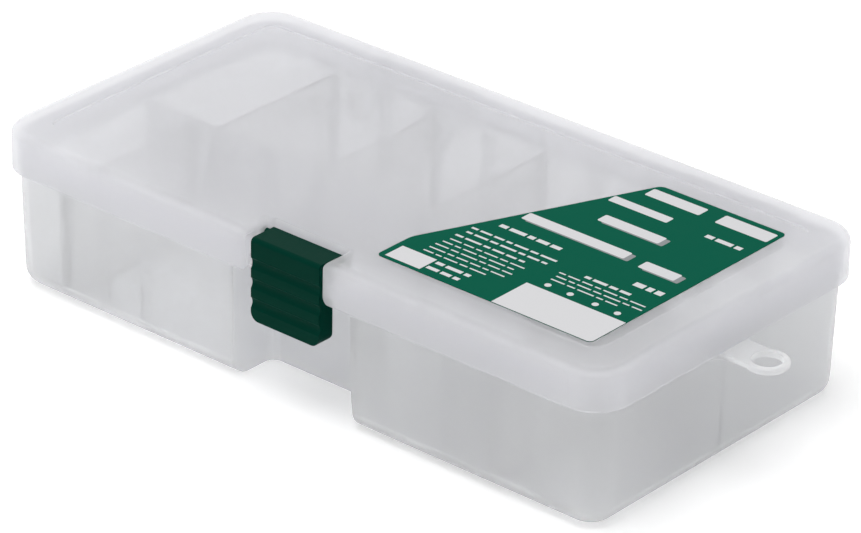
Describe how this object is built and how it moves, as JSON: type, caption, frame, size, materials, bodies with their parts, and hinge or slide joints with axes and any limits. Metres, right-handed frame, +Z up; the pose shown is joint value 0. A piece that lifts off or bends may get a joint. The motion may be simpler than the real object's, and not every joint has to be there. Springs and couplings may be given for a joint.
{
  "type": "fly box",
  "caption": "Flat translucent plastic box for fishing flies, with a hinged lid, a green front latch, removable dividers in two rows and an eyelet for a cord.",
  "frame": {"origin": "middle of the flat underside of the tray", "axes": "+X along the box towards the eyelet, -Y towards the latch, +Z up"},
  "size_m": [0.214, 0.118, 0.045],
  "materials": {
    "clear_pp": "satin",
    "divider_pp": "satin",
    "green_pp": "semi-gloss",
    "label_film": "gloss",
    "pin_steel": "drawn"
  },
  "bodies": {
    "tray": {"tray": "clear_pp", "divider_1": "divider_pp", "divider_2": "divider_pp", "divider_3": "divider_pp", "divider_4": "divider_pp", "divider_5": "divider_pp", "divider_6": "divider_pp", "hinge_pin_left": "pin_steel", "hinge_pin_right": "pin_steel"},
    "lid": {"lid": "clear_pp", "label": "label_film"},
    "latch": {"latch": "green_pp"}
  },
  "joints": [
    {"name": "lid_hinge", "type": "hinge", "parent": "tray", "child": "lid", "pos_m": [0, 0.0621, 0.031], "axis": [-1, 0, 0], "range_deg": [0, 180]},
    {"name": "latch_hinge", "type": "hinge", "parent": "lid", "child": "latch", "pos_m": [0, -0.0442, 0.0415], "axis": [-1, 0, 0], "range_deg": [0, 90]}
  ]
}
